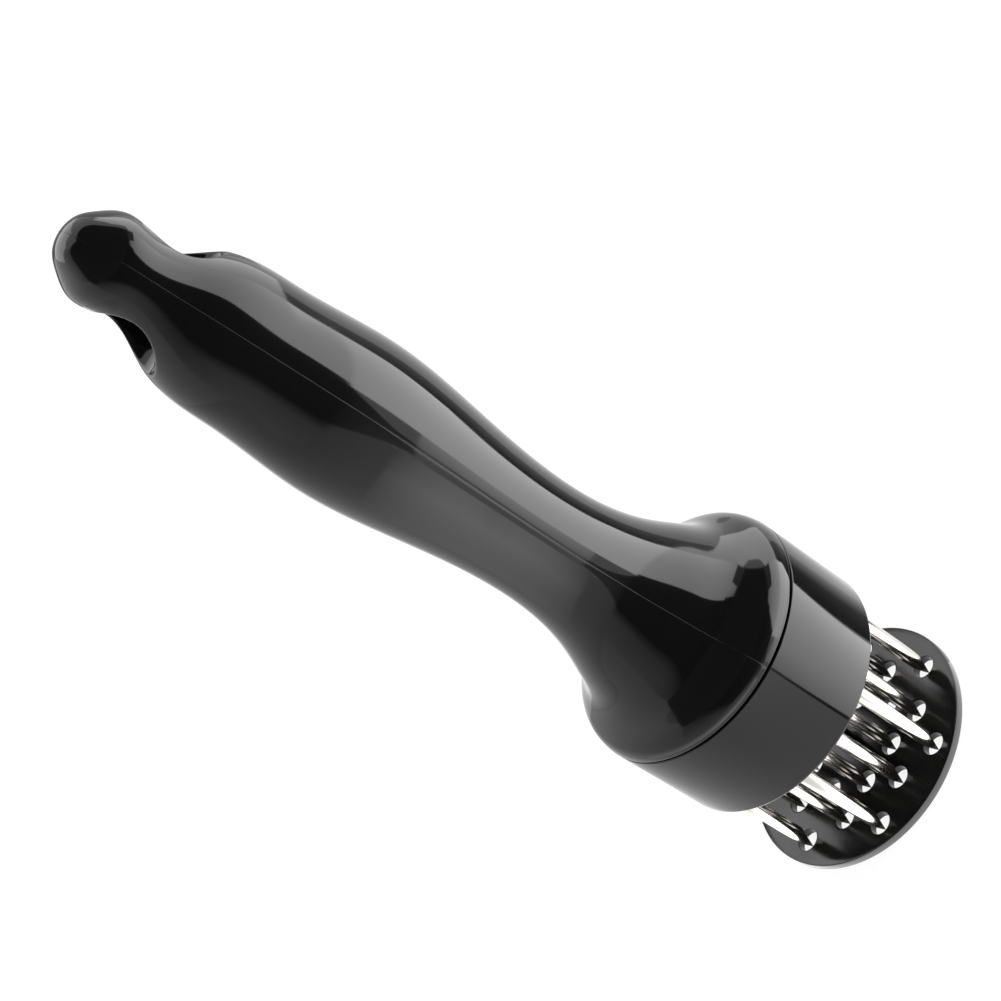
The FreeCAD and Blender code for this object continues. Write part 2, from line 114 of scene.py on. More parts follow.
def flatFace(loops, place, flip=False, material=0):
    # fills the first closed loop of 2D points, but not the loops inside it;
    # place turns (n, 2) points into (n, 3)
    flat = np.concatenate(loops)
    starts = np.cumsum([0] + [len(loop) for loop in loops])
    rings = [list(range(a, b)) for a, b in zip(starts.tolist(), starts[1:].tolist())]
    holes = [(ring[k - 1], ring[k]) for ring in rings[1:] for k in range(len(ring))]
    corners = [Vector(p) for p in flat.tolist()]
    made = delaunay_2d_cdt(corners, holes, rings[:1], fillHoleFree, fillCloseness)
    points = np.array([tuple(v) for v in made[0]])
    faces = np.array([f for f in made[2]])
    return place(points), faces[:, ::-1] if flip else faces, material


def makePiece(name, patches, materials, body, nodes=(), sharp=35.0):
    # joins patches, merges what they share, shades smooth up to the sharp angle (degrees)
    # and puts the piece on its body
    mesh = bpy.data.meshes.new(name)
    verts = np.concatenate([p[0] for p in patches]) * mm
    starts = np.cumsum([0] + [len(p[0]) for p in patches])
    loops = np.concatenate([(p[1] + s).ravel() for p, s in zip(patches, starts)])
    sizes = np.concatenate([np.full(len(p[1]), p[1].shape[1]) for p in patches])
    slots = np.concatenate([np.full(len(p[1]), p[2]) for p in patches])
    mesh.vertices.add(len(verts))
    mesh.vertices.foreach_set("co", verts.ravel())
    mesh.loops.add(len(loops))
    mesh.loops.foreach_set("vertex_index", loops)
    mesh.polygons.add(len(sizes))
    mesh.polygons.foreach_set("loop_start", np.cumsum(sizes) - sizes)
    mesh.polygons.foreach_set("material_index", slots)
    mesh.update(calc_edges=True)
    work = bmesh.new()
    work.from_mesh(mesh)
    bmesh.ops.remove_doubles(work, verts=work.verts, dist=mergeDistance)
    bmesh.ops.dissolve_degenerate(work, edges=work.edges, dist=shortestEdge)
    work.to_mesh(mesh)
    work.free()
    mesh.polygons.foreach_set("use_smooth", np.ones(len(mesh.polygons), bool))
    mesh.set_sharp_from_angle(angle=math.radians(sharp))
    for material in materials:
        mesh.materials.append(material)
    piece = bpy.data.objects.new(name, mesh)
    bpy.context.scene.collection.objects.link(piece)
    if body:
        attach(piece, body)
    if nodes:
        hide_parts(*nodes)
    return piece


def roundedProfile(corners, steps=5):
    # corners are (across, up, radius); each corner becomes an arc that touches both of its sides
    points = np.array([c[:2] for c in corners], float)
    made = []
    for k, corner in enumerate(corners):
        here, radius = points[k], corner[2]
        if radius == 0:
            made.append(here[None])
            continue
        u = points[k - 1] - here
        v = points[(k + 1) % len(corners)] - here
        u, v = u / np.linalg.norm(u), v / np.linalg.norm(v)
        half = math.acos(float(np.clip(u @ v, -1, 1))) / 2
        middle = here + (u + v) / np.linalg.norm(u + v) * radius / math.sin(half)
        first = here + u * radius / math.tan(half) - middle
        last = here + v * radius / math.tan(half) - middle
        turn = math.pi - 2 * half
        t = np.linspace(0, 1, steps + 1)[:, None]
        swept = np.sin((1 - t) * turn) * first + np.sin(t * turn) * last
        made.append(middle + swept / math.sin(turn))
    return np.concatenate(made)


def spin(profile, segments, closed=True):
    # carries an outline of (radius, height) round the Z axis: x = r cos a, y = r sin a
    outline = np.concatenate([profile, profile[:1]]) if closed else profile
    angle = np.linspace(0, 2 * math.pi, segments + 1)
    angle[-1] = 0
    across, up = outline[:, :1], outline[:, 1:]
    return np.stack([across * np.cos(angle), across * np.sin(angle), up + 0 * angle], axis=2)


def drawnIn(distance, radius):
    # how far a surface is drawn in at this distance from an edge rounded to the radius
    inside = np.clip(radius - distance, 0, radius)
    return radius - np.sqrt(radius ** 2 - inside ** 2)


class Spline:
    # natural cubic curve through knots: second derivatives from a tridiagonal system,
    # so reflections flow
    def __init__(self, knots, values):
        self.knots = np.asarray(knots, float)
        self.values = np.asarray(values, float)
        gap = np.diff(self.knots)
        count = len(self.knots)
        system = np.eye(count)
        right = np.zeros(self.values.shape)
        inner = np.arange(1, count - 1)
        system[inner, inner - 1] = gap[:-1]
        system[inner, inner] = 2 * (gap[:-1] + gap[1:])
        system[inner, inner + 1] = gap[1:]
        slope = np.diff(self.values, axis=0) / gap[:, None]
        right[1:-1] = 6 * np.diff(slope, axis=0)
        self.bend = np.linalg.solve(system, right)

    def __call__(self, at):
        k = np.clip(np.searchsorted(self.knots, at) - 1, 0, len(self.knots) - 2)
        gap = (self.knots[k + 1] - self.knots[k])[..., None]
        a = (self.knots[k + 1] - at)[..., None] / gap
        b = 1 - a
        curve = ((a ** 3 - a) * self.bend[k] + (b ** 3 - b) * self.bend[k + 1]) * gap ** 2 / 6
        return a * self.values[k] + b * self.values[k + 1] + curve


# camera: stands by the handle's seam side and looks down across the tool, rolled as a hand
# would tilt it

cameraView = {
    "place": (332.50, -40.33, 295.20),  # mm
    "target": (4.79, 24.44, 100.08),
    "roll": -54.96,  # degrees
    "lens": 73.62,
    "sensor": 36,
    "shift": (-0.0939, -0.0808),
    "nearest": 0.01,  # metres
}


def makeCamera(c):
    # aims at the target with the picture's top towards Z, then turns by the roll about its own axis
    camera = bpy.data.objects.new("camera", bpy.data.cameras.new("camera"))
    bpy.context.scene.collection.objects.link(camera)
    camera.location = Vector(c["place"]) * mm
    forward = Vector(c["target"]) - Vector(c["place"])
    camera.rotation_mode = "QUATERNION"
    level = forward.to_track_quat("-Z", "Y")
    camera.rotation_quaternion = level @ Quaternion((0, 0, 1), math.radians(c["roll"]))
    camera.data.lens = c["lens"]
    camera.data.sensor_width = c["sensor"]
    camera.data.shift_x, camera.data.shift_y = c["shift"]
    camera.data.clip_start = c["nearest"]
    bpy.context.scene.camera = camera


makeCamera(cameraView)
print("camera set")


# materials

def blackAbs():
    # polished moulded ABS: near black, sharp reflections with the slight waviness of a moulded skin
    m = {"color": "#060606", "ior": 1.53, "roughness": 0.055, "smear": 0.05, "smearMm": 22,
         "smearFrom": 0.35, "smearTo": 0.75, "waveMm": 14, "waveHeightMm": 0.004}
    material, tree = newMaterial("polished moulded black ABS")
    place = addNode(tree, "ShaderNodeTexCoord")
    wave = addNode(tree, "ShaderNodeTexNoise",
                   values={"Scale": perMetre(m["waveMm"]), "Detail": 1.0},
                   links={"Vector": place.outputs["Object"]})
    bump = addNode(tree, "ShaderNodeBump",
                   values={"Strength": 1.0, "Distance": m["waveHeightMm"] * mm},
                   links={"Height": wave.outputs["Fac"]})
    smear = addNode(tree, "ShaderNodeTexNoise",
                    values={"Scale": perMetre(m["smearMm"]), "Detail": 6.0, "Roughness": 0.65},
                    links={"Vector": place.outputs["Object"]})
    rough = addNode(tree, "ShaderNodeMapRange",
                    values={"From Min": m["smearFrom"], "From Max": m["smearTo"],
                            "To Min": m["roughness"], "To Max": m["roughness"] + m["smear"]},
                    links={"Value": smear.outputs["Fac"]})
    shader = addNode(tree, "ShaderNodeBsdfPrincipled",
                     values={"Base Color": hexColor(m["color"]), "IOR": m["ior"]},
                     links={"Roughness": rough.outputs["Result"], "Normal": bump.outputs["Normal"]})
    finishMaterial(tree, shader)
    return material


def sparkedAbs():
    # ABS moulded in a spark-eroded tool: an even grain that breaks the gloss into a speckle;
    # the real grain is near 0.1 mm and is drawn coarser, so that it shows
    m = {"color": "#090909", "ior": 1.53, "roughness": 0.13, "patchRoughness": 0.1, "patchMm": 14,
         "patchFrom": 0.35, "patchTo": 0.7, "grainMm": 0.5, "grainHeightMm": 0.008}
    material, tree = newMaterial("spark-grained moulded black ABS")
    place = addNode(tree, "ShaderNodeTexCoord")
    grain = addNode(tree, "ShaderNodeTexNoise",
                    values={"Scale": perMetre(m["grainMm"]), "Detail": 2.0},
                    links={"Vector": place.outputs["Object"]})
    bump = addNode(tree, "ShaderNodeBump",
                   values={"Strength": 1.0, "Distance": m["grainHeightMm"] * mm},
                   links={"Height": grain.outputs["Fac"]})
    area = addNode(tree, "ShaderNodeTexNoise",
                   values={"Scale": perMetre(m["patchMm"]), "Detail": 4.0},
                   links={"Vector": place.outputs["Object"]})
    rough = addNode(tree, "ShaderNodeMapRange",
                    values={"From Min": m["patchFrom"], "From Max": m["patchTo"],
                            "To Min": m["roughness"],
                            "To Max": m["roughness"] + m["patchRoughness"]},
                    links={"Value": area.outputs["Fac"]})
    shader = addNode(tree, "ShaderNodeBsdfPrincipled",
                     values={"Base Color": hexColor(m["color"]), "IOR": m["ior"]},
                     links={"Roughness": rough.outputs["Result"], "Normal": bump.outputs["Normal"]})
    finishMaterial(tree, shader)
    return material


def drawnStainless():
    # bright drawn stainless wire: lines along the needle, a little deeper here and there;
    # drawn coarser than the die leaves them, so that they show
    m = {"color": "#E6E2DC", "roughness": 0.09, "roughest": 2,
         "lineMm": 0.12, "lineLengthMm": 9, "lineHeightMm": 0.0006}
    material, tree = newMaterial("drawn and polished stainless steel")
    place = addNode(tree, "ShaderNodeTexCoord")
    line = perMetre(m["lineMm"])
    stretch = addNode(tree, "ShaderNodeMapping",
                      values={"Scale": (line, line, perMetre(m["lineLengthMm"]))},
                      links={"Vector": place.outputs["Object"]})
    lines = addNode(tree, "ShaderNodeTexNoise", values={"Scale": 1.0, "Detail": 2.0},
                    links={"Vector": stretch.outputs["Vector"]})
    bump = addNode(tree, "ShaderNodeBump",
                   values={"Strength": 1.0, "Distance": m["lineHeightMm"] * mm},
                   links={"Height": lines.outputs["Fac"]})
    rough = addNode(tree, "ShaderNodeMapRange",
                    values={"To Min": m["roughness"], "To Max": m["roughness"] * m["roughest"]},
                    links={"Value": lines.outputs["Fac"]})
    shader = addNode(tree, "ShaderNodeBsdfPrincipled",
                     values={"Base Color": hexColor(m["color"]), "Metallic": 1.0},
                     links={"Roughness": rough.outputs["Result"], "Normal": bump.outputs["Normal"]})
    finishMaterial(tree, shader)
    return material


def groundStainless():
    # stainless ground flat on a wheel: marks across the bevel spread its shine. A real wheel leaves
    # them near 0.1 mm apart, too fine to show; these are coarser.
    # A wave texture repeats 20 / (2 pi) times per unit
    m = {"color": "#D6D3CE", "roughness": 0.16, "markMm": 0.6283, "markHeightMm": 0.0012}
    material, tree = newMaterial("wheel-ground stainless steel")
    place = addNode(tree, "ShaderNodeTexCoord")
    marks = addNode(tree, "ShaderNodeTexWave",
                    settings={"bands_direction": "Z", "wave_profile": "SAW"},
                    values={"Scale": perMetre(m["markMm"]) * 2 * math.pi / 20,
                            "Distortion": 1.5, "Detail": 2.0},
                    links={"Vector": place.outputs["Object"]})
    bump = addNode(tree, "ShaderNodeBump",
                   values={"Strength": 1.0, "Distance": m["markHeightMm"] * mm},
                   links={"Height": marks.outputs["Fac"]})
    shader = addNode(tree, "ShaderNodeBsdfPrincipled",
                     values={"Base Color": hexColor(m["color"]), "Metallic": 1.0,
                             "Roughness": m["roughness"]},
                     links={"Normal": bump.outputs["Normal"]})
    finishMaterial(tree, shader)
    return material


def plainMaterial(name, color, roughness, metallic=0.0, grainMm=0.6, grainHeightMm=0.004,
                  tint="#000000", ior=1.5, mottle=0.12):
    # an inner piece: base colour mottled a little towards the tint, with a fine bump of the grain.
    # The colour mix takes its share at 0, its colours at 6 and 7, and gives the result at 2
    material, tree = newMaterial(name)
    place = addNode(tree, "ShaderNodeTexCoord")
    grain = addNode(tree, "ShaderNodeTexNoise",
                    values={"Scale": perMetre(grainMm), "Detail": 3.0},
                    links={"Vector": place.outputs["Object"]})
    mix = addNode(tree, "ShaderNodeMix", settings={"data_type": "RGBA"},
                  values={6: hexColor(color), 7: hexColor(tint)})
    share = addNode(tree, "ShaderNodeMapRange", values={"To Max": mottle},
                    links={"Value": grain.outputs["Fac"]})
    tree.links.new(share.outputs["Result"], mix.inputs[0])
    bump = addNode(tree, "ShaderNodeBump",
                   values={"Strength": 1.0, "Distance": grainHeightMm * mm},
                   links={"Height": grain.outputs["Fac"]})
    values = {"Metallic": metallic, "Roughness": roughness}
    if not metallic:
        values["IOR"] = ior
    shader = addNode(tree, "ShaderNodeBsdfPrincipled", values=values,
                     links={"Base Color": mix.outputs[2], "Normal": bump.outputs["Normal"]})
    finishMaterial(tree, shader)
    return material


glossAbs = blackAbs()
grainAbs = sparkedAbs()
needleSteel = drawnStainless()
bevelSteel = groundStainless()

# black oxide gives steel a dark, soft shine; glass fibre makes nylon dull and faintly mottled;
# turned acetal is milky with a low sheen; wire and screws are bright; rubber is matt
blackOxide = plainMaterial("black-oxide steel", "#17171A", 0.26, metallic=0.85,
                           grainMm=0.3, grainHeightMm=0.0008)
glassNylon = plainMaterial("glass-filled black nylon", "#1B1B1C", 0.45, tint="#3A3A3A", ior=1.53)
acetal = plainMaterial("turned white acetal", "#DAD8CF", 0.32, tint="#B9B6AA", ior=1.48)
wireSteel = plainMaterial("bright spring wire", "#B5B4B0", 0.22, metallic=1.0,
                          grainMm=0.2, grainHeightMm=0.0006)
zincSteel = plainMaterial("bright screw steel", "#BDBCB8", 0.25, metallic=1.0,
                          grainMm=0.25, grainHeightMm=0.001)
blackRubber = plainMaterial("moulded black rubber", "#161616", 0.7, tint="#2A2A2A", ior=1.52)
print("materials made")


# handle: two moulded halves with a rounded lip, a parting line and a hang eye

handle = {
    # height, half width across the seam, half depth along the eye
    "outline": [(53.4, 27.4, 27.4), (57.1, 26.35, 26.35), (61.2, 22.1, 22.1), (68.0, 18.2, 18.2),
                (75.0, 15.4, 15.4), (84.0, 13.1, 13.1), (97.0, 12.1, 12.1), (120.0, 13.9, 13.9),
                (143.0, 15.8, 15.8), (163.0, 14.4, 14.4), (176.0, 13.1, 13.1), (184.5, 11.5, 9.6),
                (190.5, 10.9, 8.3), (195.5, 10.0, 8.6), (200.0, 6.7, 6.1), (202.3, 3.9, 3.8),
                (203.3, 0, 0)],
    # the hollow follows the outline's knots from the first to the second of these below its seat
    # rings, and from the second to the third above them
    "hollowKnots": (2, 7, 10),
    "lip": 0.55,
    "lipSteps": (0, 0.01, 0.04, 0.1, 0.2, 0.35, 0.6, 1.0),  # shares of the lip's height
    "spigot": 25.3,
    "spigotLead": 0.5,  # height of the spigot's first row of faces
    "wall": 2.4,
    "straightTop": 57.5,  # up to here the hollow is a plain cylinder
    "neckEase": 0.1,  # added to the hollow at the waist
    "cavityTop": 168.0,
    "eyeHeight": 184.5,
    "eye": 6.6,
    "eyeRound": 0.9,
    "eyeField": 9.2,  # half height of the field of grid lines that bend round the eye
    "eyeRows": (12, 10, 7),  # grid rows of the field, the rounded mouth and the wall
    "seamRound": 0.08,
    "seamGap": 0.03,
    "seamSteps": (0, 0.12, 0.3, 0.6, 1.0),  # shares of the seam's rounding
    "tipStop": 0.35,  # the grid ends this far before the tip
    "tipDrop": 0.02,  # the cap's middle lies this far under the tip
    "leastWidth": 1,  # keeps the tip's width from dividing by nothing
    "rows": (110, 26, 34),  # below, beside and above the eye
    "columns": 88,
    "fineSteps": 6000,
    "ribs": ((99.9, 101.9), (104.5, 106.5)),
    "ribBore": 6.5,
    "sharp": 50,
}


def handleCurve(h):
    # (height, width, depth) as one curve by chord length, carried past the end so the tip is round
    line = np.array(h["outline"])
    beyond = line[-2:-5:-1] * (1, -1, -1)
    points = np.concatenate([line, beyond])
    chords = np.linalg.norm(np.diff(points[:, :2], axis=0), axis=1)
    length = np.concatenate([[0], np.cumsum(chords)])
    return Spline(length, points), length[len(line) - 1]


def handleHalf(label, side, h):
    # outer surface x = w cos a, y = d sin a, drawn in at the seam and the lip; side is -1 or 1
    # along Y
    curve, tip = handleCurve(h)
    fine = np.linspace(0, tip, h["fineSteps"])
    fineHeight = curve(fine)[:, 0]
    rim = h["outline"][0][0]
    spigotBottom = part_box(label)[0].z / mm

    def along(height):
        # the curve's own length at a height
        return np.interp(height, fineHeight, fine)

    def surface(angle, s):
        # the outer surface at an angle and a length along the curve
        c = curve(s)
        across, deep = c[..., 1] * np.cos(angle), c[..., 2] * np.sin(angle)
        width = np.maximum(c[..., 1], h["leastWidth"])
        shrink = 1 - drawnIn(c[..., 0] - rim, h["lip"]) / width
        across, deep = across * shrink, deep * shrink
        return np.stack([across, deep, c[..., 0]], axis=-1)

    def nearSeam(points):
        # rounds the edge where the half meets its twin
        draw = drawnIn(points[..., 1] - h["seamGap"] / 2, h["seamRound"])
        points[..., 0] -= np.sign(points[..., 0]) * np.minimum(draw, np.abs(points[..., 0]))
        return points

    def seamView(points):
        # x and z of points, as the flat seam face has them
        return points[:, [0, 2]]

    lipRows = along(rim + h["lip"] * np.array(h["lipSteps"]))
    fieldStart = along(h["eyeHeight"] - h["eyeField"])
    fieldEnd = along(h["eyeHeight"] + h["eyeField"])
    rowsBelow, rowsBeside, rowsAbove = h["rows"]
    rows = np.concatenate([lipRows, np.linspace(lipRows[-1], fieldStart, rowsBelow)[1:],
                           np.linspace(fieldStart, fieldEnd, rowsBeside)[1:],
                           np.linspace(fieldEnd, tip - h["tipStop"], rowsAbove)[1:]])
    seamSteps = h["seamGap"] / 2 + h["seamRound"] * np.array(h["seamSteps"])
    knots = curve(rows)
    depth = knots[:, 2] * (1 - drawnIn(knots[:, 0] - rim, h["lip"]) / knots[:, 1])
    start = np.arcsin(np.clip(seamSteps / depth[:, None], 0, 1))
    share = np.linspace(0, 1, h["columns"] + 1)[1:-1]
    middle = start[:, -1:] + (math.pi - 2 * start[:, -1:]) * share
    angle = np.concatenate([start, middle, math.pi - start[:, ::-1]], axis=1)
    outer = surface(angle, rows[:, None] + 0 * angle)

    # field of lines round the eye: from the grid's own lines to a circle, over the rounded mouth,
    # down the wall
    firstRow = len(lipRows) + rowsBelow - 2
    lastRow = firstRow + rowsBeside - 1
    edge = len(seamSteps) - 1
    firstColumn = edge + h["columns"] // 4
    lastColumn = edge + h["columns"] * 3 // 4
    down, across = np.arange(firstRow, lastRow), np.arange(firstColumn, lastColumn)
    ringRows = np.concatenate([np.full(len(across), firstRow), down,
                               np.full(len(across), lastRow), down[::-1] + 1, [firstRow]])
    ringColumns = np.concatenate([across, np.full(len(down), lastColumn), across[::-1] + 1,
                                  np.full(len(down), firstColumn), [firstColumn]])
    ringAngle, ringS = angle[ringRows, ringColumns], rows[ringRows]
    ring = surface(ringAngle, ringS)
    turn = np.arctan2(ring[:, 2] - h["eyeHeight"], ring[:, 0])

    def onCircle(radius):
        # angle and length at which the surface meets a circle round the eye
        x, z = radius * np.cos(turn), h["eyeHeight"] + radius * np.sin(turn)
        s = along(z)
        return np.arccos(np.clip(x / curve(s)[:, 1], -1, 1)), s

    fieldRows, mouthRows, wallRows = h["eyeRows"]
    mouthAngle, mouthS = onCircle(h["eye"] + h["eyeRound"])
    t = np.linspace(0, 1, fieldRows)[:, None]
    fieldPoints = surface(ringAngle + (mouthAngle - ringAngle) * t, ringS + (mouthS - ringS) * t)
    cornerPoint = surface(*onCircle(h["eye"]))
    begin = fieldPoints[-1]
    end = cornerPoint - (0, 1, 0) * np.array(h["eyeRound"])
    t = np.linspace(0, 1, mouthRows)[:, None, None]
    mouth = (1 - t) ** 2 * begin + 2 * t * (1 - t) * cornerPoint + t ** 2 * end
    foot = seamSteps[::-1]
    straight = np.linspace(0, 1, wallRows)[:-1, None] * (foot[0] - end[:, 1]) + end[:, 1]
    drop = np.concatenate([straight, foot[:, None] + 0 * end[:, 1]])
    wider = h["eye"] + drawnIn(drop - h["seamGap"] / 2, h["seamRound"])
    wall = np.stack([wider * np.cos(turn), drop, h["eyeHeight"] + wider * np.sin(turn)], axis=2)

    # lip underside and spigot, then the hollow inside with its two seat rings
    outer = nearSeam(outer)
    spigot = h["spigot"]
    inward = np.array([spigot, spigot, spigot, (spigot + outer[0, 0, 0]) / 2])
    levels = np.array([spigotBottom, spigotBottom + h["spigotLead"], rim, rim])
    seamAngle = angle[0]
    spigotPoints = np.stack([inward[:, None] * np.cos(seamAngle),
                             inward[:, None] * np.sin(seamAngle),
                             levels[:, None] + 0 * seamAngle], axis=2)
    spigotPoints[..., 1] = np.maximum(spigotPoints[..., 1], h["seamGap"] / 2)
    spigotPoints = nearSeam(spigotPoints)
    outer = np.concatenate([spigotPoints, outer])
    offset = len(spigotPoints)

    def hollow(firstKnot, endKnot):
        # the outline's own knots, one wall inwards
        return [(w - h["wall"], z) for z, w, _ in h["outline"][firstKnot:endKnot]]

    bellKnot, waistKnot, endKnot = h["hollowKnots"]
    neckBore = h["outline"][waistKnot - 1][1] - h["wall"] + h["neckEase"]
    bore = [(spigot - h["wall"], spigotBottom), (spigot - h["wall"], h["straightTop"])]
    bore += hollow(bellKnot, waistKnot)
    for low, high in h["ribs"]:
        bore += [(neckBore, low), (h["ribBore"], low), (h["ribBore"], high), (neckBore, high)]
    bore += hollow(waistKnot, endKnot)
    bore += [(h["ribBore"], h["cavityTop"]), (h["seamGap"], h["cavityTop"])]
    bore = np.array(bore)
    begin = np.arcsin(np.clip(h["seamGap"] / 2 / bore[:, :1], 0, 1))
    sweep = begin + (math.pi - 2 * begin) * np.linspace(0, 1, outer.shape[1])
    inner = np.stack([bore[:, :1] * np.cos(sweep), bore[:, :1] * np.sin(sweep),
                      bore[:, 1:] + 0 * sweep], axis=2)

    pole = np.array([0, h["seamGap"] / 2, curve(np.array([tip]))[0, 0] - h["tipDrop"]])
    cap = np.stack([outer[-1], np.broadcast_to(pole, outer[-1].shape)])
    floorStrip = np.stack([outer[0], inner[0]])
    roofPole = [0, h["seamGap"] / 2, h["cavityTop"]]
    roof = np.stack([inner[-1], np.broadcast_to(roofPole, inner[-1].shape)])
    loop = np.concatenate([seamView(outer[:, 0]), seamView(pole[None]),
                           seamView(outer[:, -1])[::-1], seamView(inner[:, -1]),
                           [[0, h["cavityTop"]]], seamView(inner[:, 0])[::-1]])
    eyeLoop = seamView(wall[-1][:-1])

    def onSeam(points):
        # flat points laid on the seam's plane
        level = np.full(len(points), h["seamGap"] / 2)
        return np.stack([points[:, 0], level, points[:, 1]], axis=1)

    flip = side > 0
    eyeField = (firstRow + offset, lastRow + offset, firstColumn, lastColumn)
    patches = [
        patch(outer, not flip, eyeField), patch(cap, not flip),
        patch(fieldPoints, not flip), patch(mouth, not flip), patch(wall, not flip),
        patch(inner, flip), patch(roof, flip), patch(floorStrip, flip),
        flatFace([loop, eyeLoop], onSeam, not flip),
    ]
    patches = [(points * (1, side, 1), faces, slot) for points, faces, slot in patches]
    return makePiece(label.replace("_shell", ""), patches, [glossAbs], "handle",
                     [label], sharp=h["sharp"])


handleHalf("handle_front_shell", -1, handle)
handleHalf("handle_back_shell", 1, handle)
print("handle halves made")


# collar: one turned and polished ring, softened at its foot and top

collar = {
    "radius": 27.3, "bore": 25.5, "ledge": 24.5, "ledgeHeight": 2.0,
    "footRound": 0.75, "topRound": 0.28, "mouthRound": 0.35, "innerRound": 0.1, "segments": 192,
}


def makeCollar(c):
    # a closed outline of (radius, height) carried round the Z axis
    low, high = (corner.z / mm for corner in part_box("head_collar"))
    step = low + c["ledgeHeight"]
    profile = roundedProfile([
        (c["ledge"], low, c["mouthRound"]), (c["radius"], low, c["footRound"]),
        (c["radius"], high, c["topRound"]), (c["bore"], high, c["innerRound"]),
        (c["bore"], step, 0), (c["ledge"], step, c["innerRound"])])
    makePiece("collar", [patch(spin(profile, c["segments"]), True)], [glossAbs], "handle",
              ["head_collar"])


makeCollar(collar)
print("collar made")


# guard plate: disc with three rings of seven holes, every edge slightly rounded

needles = {
    "count": 7, "radius": 1.55, "tip": 0.9, "grind": 19.0, "edgeTurn": 65.0,
    # radius of the ring and angle of its first needle; the middle one is turned by half a step
    "rings": {"outer": (22.5, 16.4), "middle": (17.1, 16.4 + 180 / 7), "inner": (10.9, 16.4)},
    "segments": 48, "wireRows": 7, "flatRows": 5, "sharp": 15,
}

guard = {
    "radius": 27.5, "thickness": 2.0, "rimRound": 0.3, "rimBand": 1.5, "segments": 192,
    "hole": 2.45, "holeRound": 0.13, "holeBand": 0.5, "holeSegments": 56, "roundSteps": 4,
    "screwHole": 1.3, "screwMouth": 2.6, "screwCone": 1.3, "screwRound": 0.05,
    "screwBand": 0.6, "screwSteps": 3,
}


def needleSpots(n):
    # name, x and y of every needle: x = r cos a, y = r sin a, at equal steps round each ring
    spots = []
    for ring, (radius, first) in n["rings"].items():
        for k in range(n["count"]):
            angle = math.radians(first + k * 360 / n["count"])
            x, y = radius * math.cos(angle), radius * math.sin(angle)
            spots.append((f"{ring}_needle_{k + 1}", x, y))
    return spots


def makeGuard(g):
    # rim, holes and screw seat are outlines carried round their own axes; two flat faces join them
    top = g["thickness"]
    rimInside = g["radius"] - g["rimBand"]
    holeOutside = g["hole"] + g["holeBand"]
    seatOutside = g["screwMouth"] + g["screwBand"]
    rim = roundedProfile([
        (rimInside, 0, 0), (g["radius"], 0, g["rimRound"]),
        (g["radius"], top, g["rimRound"]), (rimInside, top, 0)], g["roundSteps"])
    hole = roundedProfile([
        (holeOutside, top, 0), (g["hole"], top, g["holeRound"]),
        (g["hole"], 0, g["holeRound"]), (holeOutside, 0, 0)], g["roundSteps"])
    centre = roundedProfile([
        (seatOutside, top, 0), (g["screwHole"], top, g["screwRound"]),
        (g["screwHole"], g["screwCone"], 0), (g["screwMouth"], 0, g["screwRound"]),
        (seatOutside, 0, 0)], g["screwSteps"])
    spots = needleSpots(needles)
    seatSegments = g["segments"] // 2
    patches = [patch(spin(rim, g["segments"], False), True),
               patch(spin(centre, seatSegments, False), True)]
    ring = spin(hole, g["holeSegments"], False)
    patches += [patch(ring + (x, y, 0), True) for _, x, y in spots]
    angle = np.linspace(0, 2 * math.pi, g["holeSegments"] + 1)[:-1]
    around = np.stack([np.cos(angle), np.sin(angle)], axis=1)
    loops = [spin(rim[:1], g["segments"], False)[0, :-1, :2],
             spin(centre[:1], seatSegments, False)[0, :-1, :2]]
    loops += [around * holeOutside + (x, y) for _, x, y in spots]
    for level in (0, top):
        def onLevel(points):
            # flat points laid on one face of the plate
            return np.column_stack([points, np.full(len(points), level)])

        patches.append(flatFace(loops, onLevel, level == 0))
    makePiece("guardPlate", patches, [grainAbs], "guard", ["guard_plate"])


makeGuard(guard)
print("guard plate made")


# needles: round wire ground by two flats to a chisel edge

def makeNeedle(name, x, y, n):
    # the wire's foot follows height = tip + |across| / tan(grind); each flat spans edge to wire
    # in straight lines
    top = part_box(name)[1].z / mm
    slope = math.tan(math.radians(n["grind"]))
    angle = np.linspace(0, 2 * math.pi, n["segments"] + 1)
    angle[-1] = 0
    across, along = n["radius"] * np.cos(angle), n["radius"] * np.sin(angle)
    foot = n["tip"] + np.abs(across) / slope
    share = np.linspace(0, 1, n["wireRows"])[:, None]
    wire = np.stack([across + 0 * share, along + 0 * share, foot + (top - foot) * share], axis=2)
    cap = np.stack([wire[-1], np.broadcast_to([0, 0, top], wire[-1].shape)])
    quarter = n["segments"] // 4
    patches = [patch(wire), patch(cap)]
    half = np.arange(-quarter, quarter + 1)
    for start in (0, 2 * quarter):
        edge = np.take(wire[0], (half + start) % n["segments"], axis=0)
        ridge = np.stack([0 * edge[:, 0], edge[:, 1], 0 * edge[:, 0] + n["tip"]], axis=1)
        t = np.linspace(0, 1, n["flatRows"])[:, None, None]
        patches.append(patch(ridge + (edge - ridge) * t, material=1))
    turn = math.radians(n["edgeTurn"])
    spun = np.array([[math.cos(turn), -math.sin(turn), 0], [math.sin(turn), math.cos(turn), 0],
                     [0, 0, 1]])
    patches = [(points @ spun.T + (x, y, 0), faces, slot) for points, faces, slot in patches]
    makePiece(name.replace("_needle_", "Needle"), patches, [needleSteel, bevelSteel], "handle",
              [name], sharp=n["sharp"])


for needleName, needleX, needleY in needleSpots(needles):
    makeNeedle(needleName, needleX, needleY, needles)
print("needles made")


# plunger rod and return spring

rod = {
    "radius": 2.0, "neck": 1.5, "groove": 1.2, "hole": 1.0, "holeDepth": 9.0, "endRound": 0.15,
    "shoulderRound": 0.1, "smallRound": 0.05, "roundSteps": 4, "segments": 72,
}


